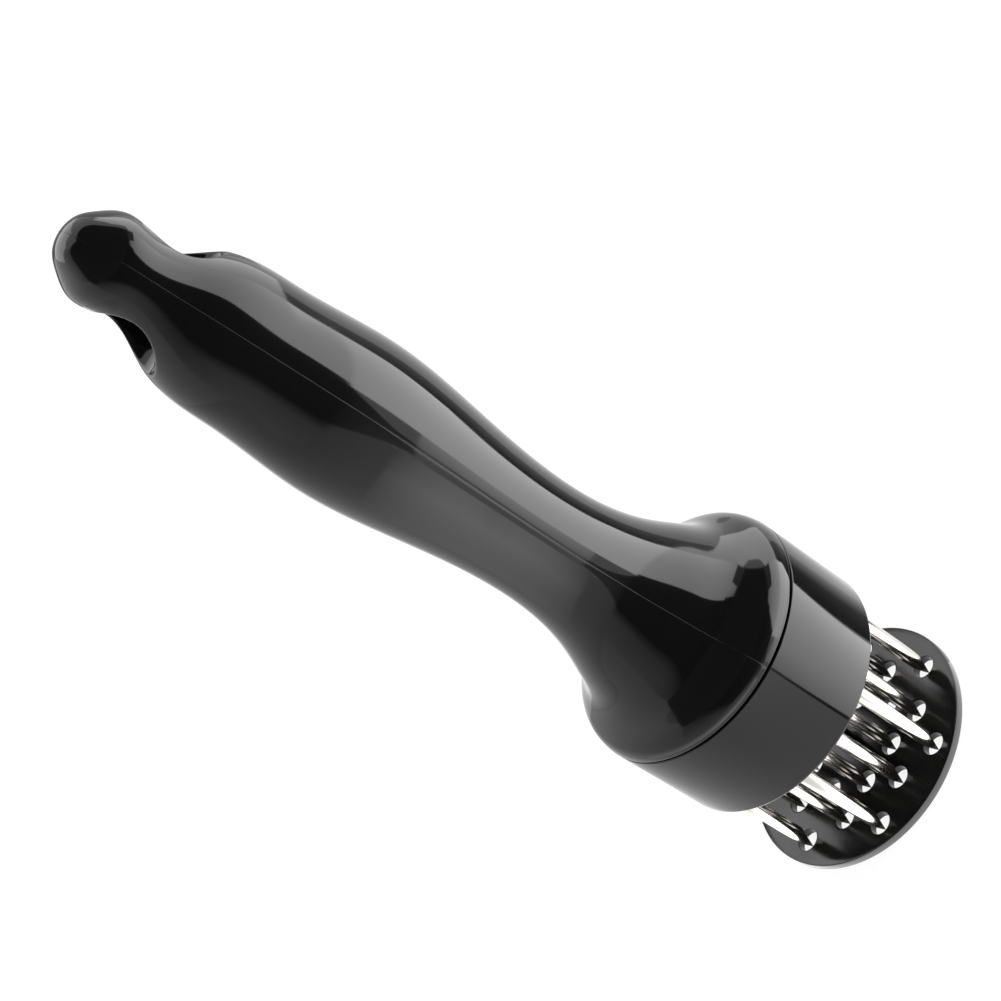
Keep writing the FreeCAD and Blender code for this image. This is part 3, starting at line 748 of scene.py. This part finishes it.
def makeRod(r):
    # an outline of (radius, height) carried round the Z axis, from the screw's hole to the top
    low, high = (corner.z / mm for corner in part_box("plunger_rod"))
    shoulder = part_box("stop_washer")[1].z / mm
    clipLow, clipHigh = (corner.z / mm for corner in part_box("retaining_clip"))
    holeEnd = low + r["holeDepth"]
    profile = roundedProfile([
        (0, holeEnd, 0), (r["hole"], holeEnd, 0), (r["hole"], low, r["smallRound"]),
        (r["radius"], low, r["endRound"]), (r["radius"], shoulder, r["shoulderRound"]),
        (r["neck"], shoulder, 0), (r["neck"], clipLow, r["smallRound"]),
        (r["groove"], clipLow, 0), (r["groove"], clipHigh, 0),
        (r["neck"], clipHigh, r["smallRound"]), (r["neck"], high, r["endRound"]),
        (0, high, 0)], r["roundSteps"])
    makePiece("plungerRod", [patch(spin(profile, r["segments"], False), True)], [blackOxide],
              "guard", ["plunger_rod"])


spring = {
    "coil": 4.7, "wire": 0.5, "turns": 9, "endTurns": 1.0, "stepsPerTurn": 40, "sides": 14,
    "sharp": 60,
}


def makeSpring(s):
    # a circle carried along a helix whose first and last turn lie flat
    low, high = (corner.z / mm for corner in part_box("return_spring"))
    turns = np.linspace(0, s["turns"], s["turns"] * s["stepsPerTurn"] + 1)
    climb = np.interp(turns, [0, s["endTurns"], s["turns"] - s["endTurns"], s["turns"]],
                      [0, 2 * s["wire"], high - low - 4 * s["wire"], high - low - 2 * s["wire"]])
    angle = 2 * math.pi * turns
    outward = np.stack([np.cos(angle), np.sin(angle), 0 * angle], axis=1)
    height = low + s["wire"] + climb
    middle = outward * s["coil"] + np.stack([0 * angle, 0 * angle, height], axis=1)
    about = np.linspace(0, 2 * math.pi, s["sides"] + 1)
    about[-1] = 0
    ringOut = np.cos(about)[None, :, None] * outward[:, None] * s["wire"]
    ringUp = np.sin(about)[None, :, None] * np.array([0, 0, s["wire"]])
    tube = middle[:, None] + ringOut + ringUp
    first = np.broadcast_to(middle[0], tube[0].shape)
    last = np.broadcast_to(middle[-1], tube[0].shape)
    tube = np.concatenate([first[None], tube, last[None]])
    piece = makePiece("returnSpring", [patch(tube, True)], [wireSteel], "handle",
                      ["return_spring"], sharp=s["sharp"])
    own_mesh(piece)


makeRod(rod)
makeSpring(spring)
print("rod and spring made")


# inner pieces that stay as the frame has them, each in its own finish

innerFinish = {
    "needle_plate": glassNylon, "needle_backing_plate": glassNylon, "spring_seat": glassNylon,
    "guide_bush": acetal, "spring_follower": acetal, "plate_screws": zincSteel,
    "guard_screw": zincSteel, "retaining_clip": wireSteel, "stop_washer": blackRubber,
}
for nodeName, finish in innerFinish.items():
    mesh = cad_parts[nodeName].data
    mesh.materials.clear()
    mesh.materials.append(finish)


# stage: white floor and surround, soft lamps, and the cards that a gloss surface mirrors

stage = {
    "floorHalf": 6.0, "floorDrop": 0.00015, "floorColor": "#F4F4F3", "floorGlow": 0.88,
    "worldSoft": 0.75,
    "lamps": [
        # azimuth, elevation, distance m, size m, watts
        (100, 48, 1.5, 1.0, 22), (-60, 50, 1.6, 1.2, 14), (190, 40, 1.6, 1.2, 12),
    ],
    "lampAim": 0.1,  # metres above the floor
    "domeHeight": 0.13,
    "domeSteps": 40,
    "floorSteps": 30,
    "cardLift": 0.00005, "cardLiftStep": 0.00002,  # each floor card lies over the one before it
    # distance m, then corners as azimuth, elevation (degrees) seen from the dome's height,
    # and strength there
    "domeCards": {
        "darkFront": (0.57, [(-27, -13.2, 0.06), (31, -13.2, 0.1), (57, 25, 0.04), (-48, 25, 0.04)]),
        "darkOverhead": (0.58, [(-76, 24, 0.1), (90, 24, 0.06), (130, 90, 0.04), (-120, 90, 0.04)]),
        "darkShoulder": (0.58, [(50, 8, 0.25), (92, 8, 0.3), (90, 32, 0.3), (55, 32, 0.15)]),
        "leftFade": (0.57, [(-76, -13.2, 0.62), (-42, -13.2, 0.5), (-58, 25, 0.12), (-76, 25, 0.35)]),
        "frontFade": (0.57, [(-42, -13.2, 0.5), (-27, -13.2, 0.06), (-48, 25, 0.04), (-58, 25, 0.12)]),
        "leftWall": (0.6, [(-165, -12.3, 0.75), (-75, -12.3, 0.65), (-75, 36, 0.6), (-160, 36, 1.6)]),
        "leftUpper": (0.6, [(-134, 36, 1.4), (-75, 36, 0.2), (-75, 90, 0.05), (-110, 90, 0.1)]),
        "keyPanel": (0.55, [(31, -13.2, 3.6), (90, -13.2, 3.8), (89, 12, 2.8), (46, 12, 2.3)]),
        "keyPanelTop": (0.55, [(50, 12, 2.3), (68, 12, 2.6), (66, 21, 1.9), (55, 21, 1.4)]),
        "sidePanel": (0.55, [(90, -13.2, 2.6), (123, -13.2, 2.4), (127, 30, 3.7), (89, 20, 3.0)]),
        "sidePanelTop": (0.555, [(98, 20, 3.4), (127, 20, 3.4), (121, 36, 2.8), (106, 36, 2.8)]),
        "backPanel": (0.55, [(152, 27, 2.0), (205, 27, 2.8), (238, 44, 2.6), (218, 66, 2.6)]),
        "backPanelEnd": (0.555, [(152, 27, 2.0), (205, 40, 2.8), (218, 66, 2.6), (160, 66, 2.0)]),
        "darkBack": (0.59, [(140, -12, 0.6), (195, -12, 0.15), (196, 28, 0.25), (130, 28, 0.6)]),
    },
    # corners on the floor as azimuth, distance mm, and strength there
    "floorCards": {
        "leftFloor": [(-160, 125, 0.75), (-160, 592, 0.6), (-8, 592, 0.45), (-8, 125, 0.85)],
        "collarFloor": [(-160, 48, 0.95), (-160, 125, 0.95), (-50, 125, 0.82), (-50, 48, 0.8)],
        "collarFloorFront": [(-50, 48, 0.8), (-50, 125, 0.82), (6, 125, 1.3), (5, 48, 0.9)],
        "apron": [(-110, 27.6, 2.4), (-110, 47, 1.2), (5, 47, 1.3), (5, 27.6, 3.4)],
        "apronBright": [(5, 27.6, 3.4), (5, 47, 2.4), (62, 47, 2.6), (62, 27.6, 2.2)],
        "boardNear": [(5.5, 47, 2.0), (7, 125, 1.9), (24, 125, 3.1), (24, 47, 3.0)],
        "boardBright": [(24, 47, 3.0), (24, 125, 3.1), (79, 125, 4.7), (61, 47, 4.5)],
        "boardMiddle": [(7, 125, 2.0), (4, 212, 1.3), (27, 215, 2.6), (27, 125, 3.4)],
        "boardFar": [(27, 125, 4.6), (27, 200, 4.8), (86.5, 200, 5.4), (79, 125, 5.2)],
        "boardFarthest": [(27, 200, 4.8), (29, 900, 4.2), (93, 900, 4.2), (87, 200, 5.4)],
        "darkBand": [(63, 47, 0.08), (79, 125, 0.08), (93, 125, 0.12), (84, 47, 0.2)],
        "darkBandEdge": [(84, 47, 0.2), (93, 125, 0.12), (106, 125, 0.7), (101, 47, 0.95)],
        "darkBandMiddle": [(79, 125, 0.1), (87, 180, 0.15), (108, 180, 0.6), (106, 125, 0.7)],
        "darkBandFar": [(87, 180, 0.15), (92, 560, 0.4), (106, 560, 0.5), (108, 180, 0.5)],
        # a thin dim strip seen only in reflection: it puts a painted dark line into the collar's
        # reflection
        "reflectedDarkLine": [(4.2, 52, 0.1), (5.6, 125, 0.1), (7.1, 125, 0.1), (6.5, 52, 0.1)],
        "sideGlow": [(-112, 138, 1.0), (-112, 240, 0.7), (-40, 240, 1.1), (-40, 138, 2.4)],
        "sideGlowFront": [(-40, 138, 2.4), (-40, 240, 1.1), (-5, 240, 0.7), (-5, 138, 2.2)],
        "darkWedge": [(-2, 205, 0.4), (-28, 560, 0.1), (28, 560, 0.1), (9, 212, 0.3)],
        "darkWedgeFar": [(-60, 600, 0.3), (-50, 2500, 0.15), (34, 2500, 0.1), (30, 560, 0.1)],
    },
}


def rayFlag(tree):
    # 1 for rays that see the background as such: straight, mirrored or through something clear
    path = addNode(tree, "ShaderNodeLightPath")
    first = addNode(tree, "ShaderNodeMath", settings={"operation": "MAXIMUM"},
                    links={0: path.outputs["Is Camera Ray"], 1: path.outputs["Is Glossy Ray"]})
    return addNode(tree, "ShaderNodeMath", settings={"operation": "MAXIMUM"},
                   links={0: first.outputs[0], 1: path.outputs["Is Transmission Ray"]})


def stageObject(name, points, material):
    # a grid of points in metres as an object that belongs to the stage
    mesh = bpy.data.meshes.new(name)
    faces = gridFaces(points.shape[0], points.shape[1])
    mesh.from_pydata(points.reshape(-1, 3).tolist(), [], faces.tolist())
    mesh.materials.append(material)
    thing = bpy.data.objects.new(name, mesh)
    bpy.context.scene.collection.objects.link(thing)
    return thing


def makeFloor(s):
    # a square just under the object: lit paper, which straight and mirrored rays see brightened
    material, tree = newMaterial("white sweep paper")
    glow = addNode(tree, "ShaderNodeEmission", values={"Color": (1, 1, 1, 1), "Strength": 1.0})
    paper = addNode(tree, "ShaderNodeBsdfDiffuse", values={"Color": hexColor(s["floorColor"])})
    flag = rayFlag(tree)
    share = addNode(tree, "ShaderNodeMath", settings={"operation": "MULTIPLY"},
                    values={1: s["floorGlow"]}, links={0: flag.outputs[0]})
    mix = addNode(tree, "ShaderNodeMixShader",
                  links={0: share.outputs[0], 1: paper.outputs[0], 2: glow.outputs[0]})
    finishMaterial(tree, mix)
    across = np.linspace(-s["floorHalf"], s["floorHalf"], 2)
    x, y = np.meshgrid(across, across, indexing="xy")
    points = np.stack([x, y, np.full(x.shape, -s["floorDrop"])], axis=2)
    stageObject("floor", points, material)


def makeWorld(s):
    # soft white light all round; straight and mirrored rays see it as plain white
    world = bpy.data.worlds.new("white surround")
    bpy.context.scene.world = world
    world.use_nodes = True
    tree = world.node_tree
    tree.nodes.clear()
    flag = rayFlag(tree)
    strength = addNode(tree, "ShaderNodeMapRange", values={"To Min": s["worldSoft"], "To Max": 1.0},
                       links={"Value": flag.outputs[0]})
    back = addNode(tree, "ShaderNodeBackground", values={"Color": (1, 1, 1, 1)},
                   links={"Strength": strength.outputs["Result"]})
    addNode(tree, "ShaderNodeOutputWorld", links={"Surface": back.outputs[0]})


def onSphere(azimuth, elevation, radius):
    # x = r cos e cos a, y = r cos e sin a, z = r sin e
    a, e = np.radians(azimuth), np.radians(elevation)
    direction = np.stack([np.cos(e) * np.cos(a), np.cos(e) * np.sin(a), np.sin(e)], axis=-1)
    return direction * radius


def mirrorCard():
    # light that only mirrored rays meet, as bright as the card's own level attribute says
    material, tree = newMaterial("mirror card")
    level = addNode(tree, "ShaderNodeAttribute", settings={"attribute_name": "level"})
    glow = addNode(tree, "ShaderNodeEmission", values={"Color": (1, 1, 1, 1)},
                   links={"Strength": level.outputs["Fac"]})
    finishMaterial(tree, glow)
    return material


def makeCard(name, points, levels, material):
    # a stage grid with a level at every point, seen by glossy rays alone
    card = stageObject(name, points, material)
    level = card.data.attributes.new("level", "FLOAT", "POINT")
    level.data.foreach_set("value", levels.ravel())
    card.visible_camera = card.visible_diffuse = card.visible_shadow = False
    card.visible_volume_scatter = card.visible_transmission = False


def quad(corners, steps):
    # bilinear grid between four corners, each with its place and strength
    u, v = np.meshgrid(np.linspace(0, 1, steps), np.linspace(0, 1, steps), indexing="ij")
    c = np.array(corners, float)
    low = c[0] + (c[1] - c[0]) * v[..., None]
    high = c[3] + (c[2] - c[3]) * v[..., None]
    return low + (high - low) * u[..., None]


def makeLamp(name, azimuth, elevation, distance, size, watts, aim):
    # an area lamp on a sphere about the aim, turned towards it and not mirrored
    lamp = bpy.data.objects.new(name, bpy.data.lights.new(name, "AREA"))
    bpy.context.scene.collection.objects.link(lamp)
    lamp.data.size = size
    lamp.data.energy = watts
    lamp.location = Vector(onSphere(azimuth, elevation, distance)) + aim
    lamp.rotation_euler = (lamp.location - aim).to_track_quat("Z", "Y").to_euler()
    lamp.visible_camera = lamp.visible_glossy = False


def makeStage(s):
    # floor, world and lamps, then the cards: on the dome by azimuth and elevation, on the floor by
    # azimuth and distance
    makeFloor(s)
    makeWorld(s)
    for k, lamp in enumerate(s["lamps"]):
        makeLamp(f"lamp{k}", *lamp, Vector((0, 0, s["lampAim"])))
    material = mirrorCard()
    centre = np.array([0, 0, s["domeHeight"]])
    for name, (distance, corners) in s["domeCards"].items():
        spread = quad(corners, s["domeSteps"])
        place = onSphere(spread[..., 0], spread[..., 1], distance) + centre
        makeCard(name, place, spread[..., 2], material)
    for k, (name, corners) in enumerate(s["floorCards"].items()):
        spread = quad(corners, s["floorSteps"])
        place = onSphere(spread[..., 0], 0 * spread[..., 0], spread[..., 1:2] * mm)
        place = place + (0, 0, s["cardLift"] + s["cardLiftStep"] * k)
        makeCard(name, place, spread[..., 2], material)


makeStage(stage)
bpy.context.scene.view_settings.view_transform = "Standard"
print("stage set")
